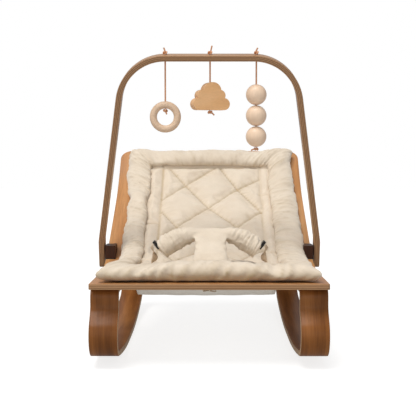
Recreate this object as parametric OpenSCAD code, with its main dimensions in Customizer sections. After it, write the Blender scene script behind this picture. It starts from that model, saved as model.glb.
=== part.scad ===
// Bentwood baby rocker: a moulded plywood seat ring on two bent runners, with a stuffed cushion,
// a T-shaped harness and a leaning toy arch. Millimetres, +Z up, the child's feet towards -Y.

/* [Seat ring] */
// Width of the seat ring
ring_width = 450; // [440:1:460]
// Thickness of the moulded plywood
ring_ply = 11; // [9:0.5:12]
// Width of each side rail
rail_width = 54; // [48:1:58]
// Height of the top of the front bar
front_height = 163; // [155:1:170]
// Slope of the front bar, falling towards the back
seat_dip = 1.5; // [0:0.5:3]
// Slope of the backrest at the head
head_slope = 42; // [40:1:44]

/* [Runners] */
// Thickness of the runner band
runner_ply = 10; // [8:0.5:11]
// Radius of the rocking curve under the band
rocker_radius = 1500; // [1300:10:1700]
// Distance of the resting point behind the front edge of the ring
rest_point = 306; // [290:1:330]
// Half length of the flat stretch that the seat rests on
resting_flat = 30; // [20:1:40]
// Rocking curve in front of the flat, in degrees
nose_angle = 9.4; // [8:0.1:10.5]
// Rocking curve behind the flat, in degrees
heel_angle = 11.2; // [10:0.1:12.5]

/* [Cushion] */
// Height of the stuffed border above the ring
border_height = 36; // [30:1:42]
// Width of the stuffed border
border_width = 53; // [48:1:58]
// Overall width of the cushion
cushion_width = 400; // [390:1:406]

/* [Toy arch] */
// Thickness of the arch plywood
arch_ply = 12; // [9:0.5:13]
// Depth of the arch band
arch_depth = 39; // [34:1:42]
// Height of the arch above its pivots, measured in its own plane
arch_height = 423; // [400:1:440]
// Lean of the arch towards the feet
arch_lean = 12; // [8:1:16]
// Outer corner radius of the arch
arch_corner = 104; // [80:1:110]

/* [Toys] */
// Diameter of each wooden ball
ball_size = 43; // [40:1:45]
// Outer diameter of the wooden ring
ring_toy_size = 65; // [58:1:65]
// Width of the wooden cloud
cloud_width = 80; // [70:1:84]

/* [Hidden] */
$fn = 48;

// ---------- paths made of straight runs and bends, in the side plane ----------

function heading(angle) = [cos(angle), sin(angle)];
function dot2(a, b) = a[0] * b[0] + a[1] * b[1];
function reversed(list) = [for (i = [len(list) - 1 : -1 : 0]) list[i]];
function run(length) = [length, 0];
function bend(radius, turn) = [radius * abs(turn) * PI / 180, turn];

// Points of equal chords along one run or bend
function walk(start, angle, chord, turn, steps) = [
    for (k = 0, p = start; k <= steps; p = p + chord * heading(angle + turn * (k + 0.5)), k = k + 1) p
];

// Points along a list of runs and bends
function trace(moves, start, angle, i = 0) =
    i == len(moves) ? [start] :
    let (steps = moves[i][1] == 0 ? 1 : max(ceil(abs(moves[i][1]) / 5), ceil(moves[i][0] / 35)),
         turn = moves[i][1] / steps,
         arc = moves[i][0] / steps,
         chord = turn == 0 ? arc : 2 * arc / (abs(turn) * PI / 180) * sin(abs(turn) / 2),
         points = walk(start, angle, chord, turn, steps))
    concat([for (k = [0 : steps - 1]) points[k]],
           trace(moves, points[steps], angle + moves[i][1], i + 1));

// A path moved sideways, positive to the left of its direction
function beside(path, offset) = [
    for (i = [0 : len(path) - 1])
        let (along = path[min(i + 1, len(path) - 1)] - path[max(i - 1, 0)])
        path[i] + offset / norm(along) * [-along[1], along[0]]
];
function strip(path, low, high) = concat(beside(path, high), reversed(beside(path, low)));

// Length of the straight run that brings a path onto the line through p with normal n
function reach(from, angle, p, n) = dot2(p - from, n) / dot2(heading(angle), n);

// ---------- seat ring ----------

back_slope = 25;
mid_slope = 28;
front_run = 200;
head_run = 76;
ring_moves = [
    run(front_run), bend(290, back_slope + seat_dip), bend(4200, mid_slope - back_slope),
    bend(490, head_slope - mid_slope), run(head_run)
];
ring_path = trace(ring_moves, [0, front_height], -seat_dip);
ring_end = ring_path[len(ring_path) - 1];
head_start = ring_end - head_run * heading(head_slope);
half_ring = ring_width / 2;
bar_depth = 62;
head_bar_depth = 66;
opening_start = bar_depth;
opening_end = ring_end[0] - head_bar_depth * cos(head_slope);
half_opening = half_ring - rail_width;
corner_radius = 28;

// ---------- runners ----------

flange = 50;
band_radius = rocker_radius - runner_ply / 2;
half_band = runner_ply / 2;
nose_moves = [
    run(resting_flat), bend(band_radius, -nose_angle), bend(38, nose_angle - 90), bend(34, -42),
    run(22), bend(28, 42)
];
nose_path = trace(nose_moves, [rest_point, half_band], 180);
nose_top = nose_path[len(nose_path) - 1];
// Underside of the front bar, half a band below it
front_line = [0, front_height] + (ring_ply + half_band) * heading(-90 - seat_dip);
front_bend = trace([bend(13, -90 - seat_dip)], [0, 0], 90);
front_turn = front_bend[len(front_bend) - 1];
nose_rise = reach(nose_top + front_turn, 90, front_line, heading(90 - seat_dip));
front_moves = concat(nose_moves, [run(nose_rise), bend(13, -90 - seat_dip), run(flange)]);

heel_lean = 120;
heel_moves = [run(resting_flat), bend(band_radius, heel_angle), bend(90, heel_lean - heel_angle)];
heel_path = trace(heel_moves, [rest_point, half_band], 0);
heel_top = heel_path[len(heel_path) - 1];
// Underside of the backrest, half a band below it
rear_line = head_start + (ring_ply + half_band) * heading(head_slope - 90);
rear_bend = trace([bend(45, head_slope - heel_lean)], [0, 0], heel_lean);
rear_turn = rear_bend[len(rear_bend) - 1];
heel_rise = reach(heel_top + rear_turn, heel_lean, rear_line, heading(head_slope + 90));
rear_moves = concat(heel_moves, [run(heel_rise), bend(45, head_slope - heel_lean), run(flange)]);

front_path = trace(front_moves, [rest_point, half_band], 180);
rear_path = trace(rear_moves, [rest_point, half_band], 0);
runner_path = concat(reversed(front_path), [for (i = [1 : len(rear_path) - 1]) rear_path[i]]);
front_tip = front_path[len(front_path) - 1];
rear_tip = rear_path[len(rear_path) - 1];
front_bolt_at = front_tip[0] - flange / 2;
rear_bolt_at = dot2(rear_tip - head_start, heading(head_slope)) - flange / 2;
bolt_spots = [half_ring - rail_width + 11, half_ring - 26];

// The farthest reach of the runners is shared out evenly in front of and behind the origin
nose_reach = min([for (p = beside(front_path, half_band)) p[0]]);
heel_reach = max([for (p = beside(rear_path, -half_band)) p[0]]);
middle = (min(nose_reach, 0) + max(heel_reach, ring_end[0])) / 2;

// ---------- arch and toys ----------

pivot_at = [320, 192];
leg_outer = 240.5;
leg_splay = 8.35;
kink_rise = 20;
foot_drop = 38;
corner_rise = (arch_corner - arch_ply / 2) * (1 - sin(leg_splay));
leg_run = (arch_height - arch_ply / 2 - corner_rise - kink_rise) / cos(leg_splay);
arch_moves = [
    run(foot_drop + kink_rise), bend(30, leg_splay), run(leg_run - 4),
    bend(arch_corner - arch_ply / 2, 90 - leg_splay)
];
arch_half = trace(arch_moves, [leg_outer - arch_ply / 2, -foot_drop], 90);
arch_top = arch_half[len(arch_half) - 1][1];
arch_path = concat(arch_half, [for (p = reversed(arch_half)) [-p[0], p[1]]]);
arch_under = arch_top - arch_ply / 2;
hang_y = pivot_at[0] - arch_under * sin(arch_lean);
hang_z = pivot_at[1] + arch_under * cos(arch_lean);
cord_places = [-91.5, 1.5, 97.5];
cord_radius = 1.7;
cord_hole = 2.6;
toy_hole = 2.3;

ring_top = 84;
cloud_top = 45;
beads_top = 49;
ring_tube = 7.5;
ring_centre = ring_top + ring_toy_size / 2;
cloud_height = 57.5;
ball_pitch = ball_size + 0.4;

// ---------- placing and shaping helpers ----------

module placed() { translate([0, -middle, 0]) children(); }
module side_plate(from_x, to_x) {
    translate([from_x, 0, 0]) rotate([90, 0, 90]) linear_extrude(to_x - from_x) children();
}
module on_front_bar(along) {
    translate([0, 0, front_height]) rotate([-seat_dip, 0, 0]) translate([0, along, 0]) children();
}
module on_head_bar(along) {
    translate([0, head_start[0], head_start[1]]) rotate([head_slope, 0, 0])
        translate([0, along, 0]) children();
}
module rounded_plan(half_x, from_y, to_y, radius, height) {
    for (x = [-1, 1], y = [from_y + radius, to_y - radius])
        translate([x * (half_x - radius), y, 0]) cylinder(r = radius, h = height);
    translate([-half_x, from_y + radius, 0]) cube([2 * half_x, to_y - from_y - 2 * radius, height]);
    translate([radius - half_x, from_y, 0]) cube([2 * (half_x - radius), to_y - from_y, height]);
}
module bolt_places() { for (side = [-1, 1], spot = bolt_spots) translate([side * spot, 0, 0]) children(); }

// ---------- seat ring and runners ----------

bolt_radius = 3;
bolt_grip = ring_ply + runner_ply;

module bolt_bore(radius) {
    translate([0, 0, -bolt_grip - 1]) cylinder(r = radius, h = bolt_grip + 2);
    translate([0, 0, -3.6]) cylinder(r = 6.1, h = 5);
}
module seat_frame() {
    color("peru") placed() difference() {
        intersection() {
            side_plate(-half_ring, half_ring) polygon(strip(ring_path, -ring_ply, 0));
            union() {
                rounded_plan(half_ring, 0, 200, 5, 260);
                translate([-half_ring, 100, 0]) cube([ring_width, 640, 560]);
            }
        }
        rounded_plan(half_opening, opening_start, opening_end, 30, 600);
        for (side = [-1, 1]) on_head_bar(head_run - corner_radius)
            translate([side * (half_ring - corner_radius), 0, -20]) rotate([0, 0, side > 0 ? 0 : 90])
                difference() {
                    cube([corner_radius + 5, corner_radius + 5, 40]);
                    cylinder(r = corner_radius, h = 40);
                }
        on_front_bar(front_bolt_at) bolt_places() bolt_bore(bolt_radius + 0.05);
        on_head_bar(rear_bolt_at) bolt_places() bolt_bore(bolt_radius + 0.05);
        for (side = [-1, 1]) mirrored(side) at_clamp() translate([0, 0, -30])
            cylinder(r = screw_radius + running_gap, h = 40);
    }
}
module runner(side) {
    from_x = side > 0 ? half_ring - rail_width : -half_ring;
    color("sienna") placed() difference() {
        side_plate(from_x, from_x + rail_width) polygon(strip(runner_path, -half_band, half_band));
        on_front_bar(front_bolt_at) bolt_places() bolt_bore(bolt_radius + 0.05);
        on_head_bar(rear_bolt_at) bolt_places() bolt_bore(bolt_radius + 0.05);
    }
}
module runner_left() { runner(-1); }
module runner_right() { runner(1); }

module bolt() {
    difference() {
        union() {
            translate([0, 0, -3.5]) cylinder(r = 6, h = 3.3);
            translate([0, 0, -bolt_grip - 7]) cylinder(r = bolt_radius, h = bolt_grip + 5);
        }
        translate([0, 0, -2.2]) cylinder(r = 2.3, h = 3, $fn = 6);
    }
}
module barrel_nut() {
    translate([0, 0, -bolt_grip - 7.5]) difference() {
        union() {
            cylinder(r = 5, h = 7.4);
            translate([0, 0, 5.4]) cylinder(r = 8, h = 2);
        }
        translate([0, 0, -1]) cylinder(r = bolt_radius + 0.02, h = 10);
    }
}
module front_bolts() { color("dimgray") placed() on_front_bar(front_bolt_at) bolt_places() bolt(); }
module rear_bolts() { color("dimgray") placed() on_head_bar(rear_bolt_at) bolt_places() bolt(); }
module front_nuts() { color("gray") placed() on_front_bar(front_bolt_at) bolt_places() barrel_nut(); }
module rear_nuts() { color("gray") placed() on_head_bar(rear_bolt_at) bolt_places() barrel_nut(); }

// ---------- canvas, cushion and harness ----------

sling_thick = 3;
sling_half = 136;
sling_shift = -6;
sling_path = concat(
    [for (d = [12, 55]) [0, front_height] + d * heading(-seat_dip) + (ring_ply + 2) * heading(-90 - seat_dip)],
    [[120, 122], [180, 113], [240, 114], [300, 128], [360, 158], [430, 196], [500, 236], [560, 276]],
    [for (d = [20, 66]) head_start + d * heading(head_slope) + (ring_ply + 2) * heading(head_slope - 90)]
);
module canvas_sling() {
    color("wheat") placed() side_plate(sling_shift - sling_half, sling_shift + sling_half)
        polygon(strip(sling_path, -sling_thick / 2, sling_thick / 2));
}
// Two flat loops of tape and the pinch between them
module sling_tie() {
    color("tan") placed() translate([0, 60, front_height - ring_ply - 11.3]) {
        for (side = [-1, 1]) translate([side > 0 ? 2.1 : -13.1, -3, 0]) cube([11, 6, 2.5]);
        translate([-2, -3.5, -1]) cube([4, 7, 3.5]);
    }
}

cushion_front = 12;
cushion_end = head_run - 16;
half_cushion = cushion_width / 2;
half_quilt = half_cushion - border_width;
quilt_start = cushion_front + border_width;
quilt_end = head_start[0] + (cushion_end - border_width) * cos(head_slope);
cushion_path = concat(
    [for (i = [0 : len(ring_path) - 2]) ring_path[i]],
    [head_start + cushion_end * heading(head_slope)]
);

ear = 9;
module cushion_border() {
    color("ivory") placed() difference() {
        intersection() {
            side_plate(-half_cushion - ear, half_cushion + ear) polygon(strip(cushion_path, 0.4, border_height));
            union() {
                translate([-half_cushion, cushion_front, 100]) cube([cushion_width, 700, 400]);
                // The front corners stand out a little, like those of a pillow
                translate([-half_cushion - ear, cushion_front, 100])
                    cube([cushion_width + 2 * ear, border_width - 5, 400]);
            }
        }
        rounded_plan(half_quilt, quilt_start, quilt_end, 16, 600);
        // The outer upper edges are rounded off
        for (side = [-1, 1]) side_plate(side > 0 ? half_cushion - 12 : -half_cushion - 20,
                                        side > 0 ? half_cushion + 20 : 12 - half_cushion)
            polygon(strip(ring_path, border_height - 9, border_height + 6));
    }
}
quilt_height = 20;
module cushion_quilt() {
    color("linen") placed() intersection() {
        side_plate(-half_quilt, half_quilt) polygon(strip(cushion_path, -6, quilt_height));
        rounded_plan(half_quilt - 0.5, quilt_start + 0.5, quilt_end - 0.5, 15.5, 600);
    }
}

strap_width = 66;
strap_thick = 12;
strap_path = [[78, 187], [88, 201], [106, 214], [128, 227], [148, 240], [160, 249]];
module crotch_strap() {
    color("ivory") placed() side_plate(-strap_width / 2, strap_width / 2)
        polygon(strip(strap_path, -strap_thick / 2, strap_thick / 2));
}
arm_radius = 17;
arm_spots = [[27, 152, 241], [54, 156, 235], [80, 151, 222.5]];
module waist_arm(side) {
    color("ivory") placed() difference() {
        for (i = [0 : len(arm_spots) - 2]) hull() {
            for (spot = [arm_spots[i], arm_spots[i + 1]])
                translate([side * spot[0], spot[1], spot[2]]) sphere(r = arm_radius, $fn = 24);
        }
        translate([side > 0 ? -50 : 0.3, 100, 150]) cube([50 - 0.3, 140, 140]);
        strap_clearance();
    }
}
// The strap's own outline, slightly fattened, so that the arms sit on it without overlapping
module strap_clearance() {
    side_plate(-strap_width / 2 - 0.3, strap_width / 2 + 0.3)
        polygon(strip(strap_path, -strap_thick / 2 - 0.3, strap_thick / 2 + 0.3));
}
module waist_arm_left() { waist_arm(-1); }
module waist_arm_right() { waist_arm(1); }

buckle_at = [106, 150, 220];
buckle_tilt = 49;
buckle_length = 18;
socket_length = 12.5;
module at_buckle(side) {
    placed() mirror([side > 0 ? 0 : 1, 0, 0]) translate(buckle_at) rotate([0, -buckle_tilt, 0])
        translate([-buckle_length / 2, 0, 0]) children();
}
module buckle_socket(side) {
    color("black") at_buckle(side) difference() {
        translate([0, -11, -3.3]) cube([socket_length, 22, 6.6]);
        translate([4, -9, -1.9]) cube([socket_length, 18, 3.8]);
    }
}
module buckle_tongue(side) {
    color("black") at_buckle(side) {
        translate([socket_length + 0.5, -10, -2.6]) cube([buckle_length - socket_length - 0.5, 20, 5.2]);
        for (y = [-8, -1.5, 5]) translate([5.5, y, -1.4]) cube([socket_length - 4, 3, 2.8]);
    }
}
module buckle_socket_left() { buckle_socket(-1); }
module buckle_socket_right() { buckle_socket(1); }
module buckle_tongue_left() { buckle_tongue(-1); }
module buckle_tongue_right() { buckle_tongue(1); }

webbing_path = [[113.4, 218.7], [115.5, 212], [112, 205], [109, 198], [110.5, 191], [114, 186], [116, 181.5]];
module side_webbing(side) {
    color("tan") placed() mirror([side > 0 ? 0 : 1, 0, 0]) translate([0, buckle_at[1] + 11, 0])
        rotate([90, 0, 0]) linear_extrude(22) polygon(strip(webbing_path, -2.5, 2.5));
}
module side_webbing_left() { side_webbing(-1); }
module side_webbing_right() { side_webbing(1); }

// ---------- toy arch ----------

block_inner = 204;
block_outer = 226;
block_middle = (block_inner + block_outer) / 2;
block_length = 46;
block_top = 201;
pad_thick = 2;
pivot_radius = 4;
screw_radius = 4;
// Depth of the screw in the block, short of the pivot
screw_bite = 6.2;
running_gap = 0.06;
arc_centre = front_run * heading(-seat_dip) + [0, front_height] + 290 * heading(90 - seat_dip);
clamp_slope = asin((pivot_at[0] - arc_centre[0]) / 290);
clamp_foot = arc_centre + 290 * heading(clamp_slope - 90);

module mirrored(side) { mirror([side > 0 ? 0 : 1, 0, 0]) children(); }
module at_clamp() { translate([block_middle, clamp_foot[0], clamp_foot[1]]) rotate([clamp_slope, 0, 0]) children(); }
module block_box(grow) {
    translate([block_inner - grow, pivot_at[0] - block_length / 2 - grow, 100])
        cube([block_outer - block_inner + 2 * grow, block_length + 2 * grow, block_top + grow - 100]);
}
module clamp_block(side) {
    color("#42291c") placed() mirrored(side) difference() {
        block_box(0);
        side_plate(block_inner - 1, block_outer + 1) polygon(strip(ring_path, -100, pad_thick));
        translate([block_inner - 1, pivot_at[0], pivot_at[1]]) rotate([0, 90, 0])
            cylinder(r = pivot_radius + 0.02, h = 40);
        at_clamp() cylinder(r = screw_radius + running_gap, h = screw_bite + 0.4);
    }
}
module clamp_pad(side) {
    color("black") placed() mirrored(side) difference() {
        intersection() {
            block_box(0);
            side_plate(block_inner - 1, block_outer + 1) polygon(strip(ring_path, 0, pad_thick));
        }
        at_clamp() translate([0, 0, -5]) cylinder(r = screw_radius + running_gap, h = 20);
    }
}
module clamp_screw(side) {
    color("#42291c") placed() mirrored(side) at_clamp() {
        translate([0, 0, -ring_ply - 3]) cylinder(r = screw_radius, h = ring_ply + 3 + screw_bite);
        translate([0, 0, -ring_ply - 11]) difference() {
            cylinder(r = 11, h = 10);
            for (turn = [0 : 45 : 315]) rotate([0, 0, turn]) translate([12.5, 0, -1]) cylinder(r = 3, h = 8);
        }
    }
}
module clamp_block_left() { clamp_block(-1); }
module clamp_block_right() { clamp_block(1); }
module clamp_pad_left() { clamp_pad(-1); }
module clamp_pad_right() { clamp_pad(1); }
module clamp_screw_left() { clamp_screw(-1); }
module clamp_screw_right() { clamp_screw(1); }

module in_arch_plane() {
    translate([0, pivot_at[0], pivot_at[1]]) rotate([arch_lean, 0, 0]) children();
}
module arch() {
    color("burlywood") placed() difference() {
        in_arch_plane() rotate([90, 0, 0]) translate([0, 0, -arch_depth / 2]) linear_extrude(arch_depth)
            polygon(strip(arch_path, -arch_ply / 2, arch_ply / 2));
        for (side = [-1, 1]) mirrored(side) translate([leg_outer - arch_ply - 2, pivot_at[0], pivot_at[1]])
            rotate([0, 90, 0]) {
                cylinder(r = pivot_radius + running_gap, h = arch_ply + 4);
                translate([0, 0, arch_ply + 2 - nut_recess]) cylinder(r = nut_radius + 0.5, h = nut_recess + 1);
            }
        for (x = cord_places) {
            in_arch_plane() translate([x, 0, arch_under - 1]) cylinder(r = cord_hole, h = arch_ply + 3);
            translate([x, hang_y, hang_z]) sphere(r = 3.4);
        }
    }
}
washer_thick = 2.1;
nut_recess = 5.5;
nut_radius = 7.4;
module arch_pivots() {
    color("silver") placed() for (side = [-1, 1]) mirrored(side)
        translate([block_inner + 2, pivot_at[0], pivot_at[1]]) rotate([0, 90, 0])
            cylinder(r = pivot_radius, h = leg_outer - 2.3 - block_inner - 2);
}
module arch_washers() {
    color("black") placed() for (side = [-1, 1]) mirrored(side)
        translate([block_outer, pivot_at[0], pivot_at[1]]) rotate([0, 90, 0]) difference() {
            cylinder(r = 9, h = washer_thick);
            translate([0, 0, -1]) cylinder(r = pivot_radius + 0.02, h = washer_thick + 2);
        }
}
// Cap nuts sunk into the legs, so that their faces lie just below the wood
module pivot_nuts() {
    color("#42291c") placed() for (side = [-1, 1]) mirrored(side)
        translate([leg_outer - nut_recess + 0.4, pivot_at[0], pivot_at[1]]) rotate([0, 90, 0]) difference() {
            cylinder(r = nut_radius, h = nut_recess - 0.8);
            translate([0, 0, -1]) cylinder(r = pivot_radius + 0.02, h = nut_recess - 1.5);
            translate([0, 0, nut_recess - 2]) cylinder(r = 2.4, h = 3, $fn = 6);
        }
}

// ---------- cords: round tubes swept along their own points ----------

function cord_ring(path, i, radius) =
    let (along = path[min(i + 1, len(path) - 1)] - path[max(i - 1, 0)],
         dir = along / norm(along),
         side = cross(dir, abs(dir[1]) < 0.9 ? [0, 1, 0] : [1, 0, 0]),
         a = side / norm(side),
         b = cross(dir, a))
    [for (k = [0 : 7]) path[i] + radius * (cos(45 * k) * a + sin(45 * k) * b)];
module cord_tube(path, radius) {
    count = len(path);
    polyhedron(
        points = [for (i = [0 : count - 1]) each cord_ring(path, i, radius)],
        faces = concat(
            [[for (k = [7 : -1 : 0]) k]],
            [for (i = [0 : count - 2], k = [0 : 7]) let (n = (k + 1) % 8)
                [8 * i + k, 8 * i + n, 8 * i + 8 + n, 8 * i + 8 + k]],
            [[for (k = [0 : 7]) 8 * (count - 1) + k]]
        )
    );
}
// Each hanging cord, from the arch's underside down; x, y, z from its own exit
ring_route = [
    [0, 0, 0], [0, 0, -6], [0, 0, -12], [0, 0, -18], [0, 0, -24], [0, 0, -30], [0, 0, -36], [0, 0, -42],
    [0, 0, -48], [0, 0, -54], [0, 0, -60], [0, 0, -66], [0, 0, -72], [0, 0, -78], [0, 0, -85], [0, 0, -92],
    [0, 0, -99.7]
];
cloud_route = [
    [0, 0, 0], [0, 0, -6], [0, 0, -12], [0, 0, -18], [0, 0, -24], [0, 0, -30], [0, 0, -36], [0, 0, -42],
    [0, 0, -48], [0, 0, -56], [0, 0, -64], [0, 0, -72], [0, 0, -80], [0, 0, -86], [0, 0, -93], [0, 0, -100],
    [0, 0, -103.2]
];
bead_route = [
    [0, 0, 0], [0, 0, -10], [0, 0, -20], [0, 0, -30], [0, 0, -40], [0, 0, -50], [0, 0, -60], [0, 0, -75],
    [0, 0, -90], [0, 0, -105], [0, 0, -116], [0, 0, -127], [0, 0, -138], [0, 0, -149], [0, 0, -160],
    [0, 0, -170], [0, 0, -179.5]
];
knot_radius = 4.6;

module at_exit(index) { translate([cord_places[index], hang_y, hang_z]) children(); }
module knot() { sphere(r = knot_radius); }
// The loose end of a cord, starting at the skin of its knot
module tail(reach_to) {
    length = norm(reach_to);
    rotate([0, acos(reach_to[2] / length), atan2(reach_to[1], reach_to[0])])
        translate([0, 0, knot_radius + 0.1]) cylinder(r = cord_radius, h = length - knot_radius);
}

module cord_top_knots() {
    color("#be7850") placed() for (i = [0 : 2]) in_arch_plane() translate([cord_places[i], 0, arch_under]) {
        translate([0, 0, 3.6]) cylinder(r = cord_radius, h = arch_ply);
        translate([0, 0, arch_ply + knot_radius]) {
            knot();
            tail([[-3, -1.5, 9.5], [4, -1.5, 13], [2.5, -1.5, 9]][i]);
        }
    }
}
module ring_toy() {
    color("#dcbea5") placed() at_exit(0) difference() {
        translate([0, 0, -ring_centre]) rotate([90, 0, 0]) rotate_extrude($fn = 64)
            translate([ring_toy_size / 2 - ring_tube, 0]) circle(r = ring_tube);
        translate([0, 0, -ring_top - 2 * ring_tube - 4]) cylinder(r = toy_hole, h = 2 * ring_tube + 8);
    }
}
module ring_cord() { color("#be7850") placed() at_exit(0) cord_tube(ring_route, cord_radius); }
module ring_knots() {
    color("#be7850") placed() at_exit(0) translate([0, 0, -99.7 - knot_radius]) {
        knot();
        tail([3, -2, -8]);
    }
}

cloud_turn = 20;
module cloud_tier(width, radius, low) {
    for (x = [-1, 1]) translate([x * (width / 2 - radius), low + radius]) circle(r = radius);
    translate([radius - width / 2, low]) square([width - 2 * radius, 2 * radius]);
}
module cloud_toy() {
    color("#d2a073") placed() at_exit(1) difference() {
        translate([0, 0, -cloud_top - cloud_height]) rotate([90, 0, cloud_turn])
            translate([0, 0, -11]) linear_extrude(22) {
                cloud_tier(cloud_width, 12.5, 0);
                cloud_tier(cloud_width * 0.76, 12, 18);
                translate([2, 0]) cloud_tier(cloud_width * 0.48, 18, cloud_height - 36);
            }
        translate([0, 0, -cloud_top - cloud_height - 4]) cylinder(r = toy_hole, h = cloud_height + 8);
    }
}
module cloud_cord() { color("#be7850") placed() at_exit(1) cord_tube(cloud_route, cord_radius); }
module cloud_knots() {
    color("#be7850") placed() at_exit(1) translate([0, 0, -103.2 - knot_radius]) {
        knot();
        tail([8.5, 2.5, -6]);
    }
}

module bead(index) {
    color("#e1c3a5") placed() at_exit(2)
        translate([0, 0, -beads_top - ball_size / 2 - index * ball_pitch]) difference() {
            sphere(d = ball_size, $fn = 64);
            translate([0, 0, -ball_size]) cylinder(r = toy_hole, h = 2 * ball_size);
        }
}
module bead_top() { bead(0); }
module bead_middle() { bead(1); }
module bead_bottom() { bead(2); }
module bead_cord() { color("#be7850") placed() at_exit(2) cord_tube(bead_route, cord_radius); }
module bead_knots() {
    color("#be7850") placed() at_exit(2) translate([0, 0, -179.5 - knot_radius]) {
        knot();
        tail([-10, -2.5, -3]);
    }
}

seat_frame();
runner_left();
runner_right();
front_bolts();
front_nuts();
rear_bolts();
rear_nuts();
canvas_sling();
sling_tie();
cushion_border();
cushion_quilt();
crotch_strap();
waist_arm_left();
waist_arm_right();
buckle_socket_left();
buckle_socket_right();
buckle_tongue_left();
buckle_tongue_right();
side_webbing_left();
side_webbing_right();
clamp_block_left();
clamp_block_right();
clamp_pad_left();
clamp_pad_right();
clamp_screw_left();
clamp_screw_right();
arch();
arch_pivots();
arch_washers();
pivot_nuts();
cord_top_knots();
ring_toy();
ring_cord();
ring_knots();
cloud_toy();
cloud_cord();
cloud_knots();
bead_top();
bead_middle();
bead_bottom();
bead_cord();
bead_knots();
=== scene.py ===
"""Looks of the bentwood baby rocker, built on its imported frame.

Every piece is made in the frame's own metres. Side-plane outlines are distances behind the front edge of
the seat ring and heights above the floor, in millimetres. Angles are in degrees.
"""
import random
from math import ceil, cos, exp, pi, radians, sin

import bmesh
import bpy
import numpy as np
from mathutils import Matrix, Vector, noise


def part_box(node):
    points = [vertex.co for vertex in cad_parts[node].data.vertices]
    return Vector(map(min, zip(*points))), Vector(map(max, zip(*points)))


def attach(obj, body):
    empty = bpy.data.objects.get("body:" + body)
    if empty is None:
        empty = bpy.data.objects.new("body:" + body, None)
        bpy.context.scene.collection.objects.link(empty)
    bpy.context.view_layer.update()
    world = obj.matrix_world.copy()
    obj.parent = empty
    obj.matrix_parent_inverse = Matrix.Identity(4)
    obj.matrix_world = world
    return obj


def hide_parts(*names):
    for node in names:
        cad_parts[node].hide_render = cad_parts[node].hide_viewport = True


MM = 0.001
SIDES = ((-1, "left"), (1, "right"))

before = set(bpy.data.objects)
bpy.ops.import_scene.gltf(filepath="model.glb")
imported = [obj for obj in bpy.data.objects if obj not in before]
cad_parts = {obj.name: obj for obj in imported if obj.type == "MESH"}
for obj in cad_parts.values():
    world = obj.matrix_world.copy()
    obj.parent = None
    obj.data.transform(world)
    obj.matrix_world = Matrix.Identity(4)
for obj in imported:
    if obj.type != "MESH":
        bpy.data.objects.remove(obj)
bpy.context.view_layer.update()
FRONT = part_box("seat_frame")[0].y / MM


def placed(name, data):
    """A new object in the scene."""
    obj = bpy.data.objects.new(name, data)
    bpy.context.scene.collection.objects.link(obj)
    return obj


# ---------- camera ----------

SENSOR, LENS = 36, 81.0865
PITCH, PAN = 4.1508, 0.1101
CAMERA_X, CAMERA_BACK, CAMERA_HEIGHT = 1, 1725, 430


def make_camera():
    data = bpy.data.cameras.new("camera")
    data.sensor_width = SENSOR
    data.lens = LENS
    data.clip_end = 30
    camera = placed("camera", data)
    camera.location = (CAMERA_X * MM, (FRONT - CAMERA_BACK) * MM, CAMERA_HEIGHT * MM)
    camera.rotation_euler = (radians(90 - PITCH), 0, radians(PAN))
    bpy.context.scene.camera = camera


make_camera()


# ---------- sizes ----------

RING_PLY, RUNNER_PLY, ARCH_PLY, PLY_COUNT = 11, 10, 12, 7

# Seat ring: its plan, then its side profile from the front edge to the head
RING_WIDTH, RAIL_WIDTH, BAR_DEPTH, HEAD_BAR_DEPTH = 450, 54, 62, 66
FRONT_CORNER, HEAD_CORNER, HOLE_CORNER = 5, 28, 30
FRONT_HEIGHT, SEAT_DIP, SEAT_RUN = 163, 1.5, 200
SWEEP_RADIUS, SWEEP_TO, BACK_RADIUS, BACK_TO = 290, 25, 4200, 28
HEAD_RADIUS, HEAD_SLOPE, HEAD_RUN = 490, 42, 76

# Runners: the rocker, the bends of the nose from the floor up, and those of the heel
REST, ROCKER_RADIUS, ROCKER_FLAT, FLANGE, RUNNER_CORNER = 306, 1500, 30, 50, 5
FRONT_ROLL, NOSE_RADIUS, TUCK_RADIUS, TUCK, TUCK_RUN = 9.4, 38, 34, 42, 22
UNTUCK_RADIUS, TOP_RADIUS = 28, 13
REAR_ROLL, HEEL_RADIUS, REAR_UPRIGHT, REAR_TOP_RADIUS = 11.2, 90, 120, 45

# Toy arch, which leans back from its pivots
ARCH_DEPTH, ARCH_HEIGHT, ARCH_LEAN, ARCH_CORNER, ARCH_END_CORNER = 39, 423, 12, 104, 9
PIVOT = (320, 192)
LEG_OUTER, LEG_SPLAY, FOOT_DROP = 240.5, 8.35, 38
KINK_RISE, KINK_RADIUS, KINK_LENGTH = 20, 30, 4

# Cushion, on the ring
CUSHION_WIDTH, CUSHION_FRONT, CUSHION_HEAD_GAP = 400, 12, 18
BORDER_WIDTH, BORDER_HEIGHT, SEAM_HEIGHT = 53, 36, 12
HALF_CUSHION = CUSHION_WIDTH / 2
HALF_QUILT = HALF_CUSHION - BORDER_WIDTH


# ---------- node materials ----------

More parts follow.
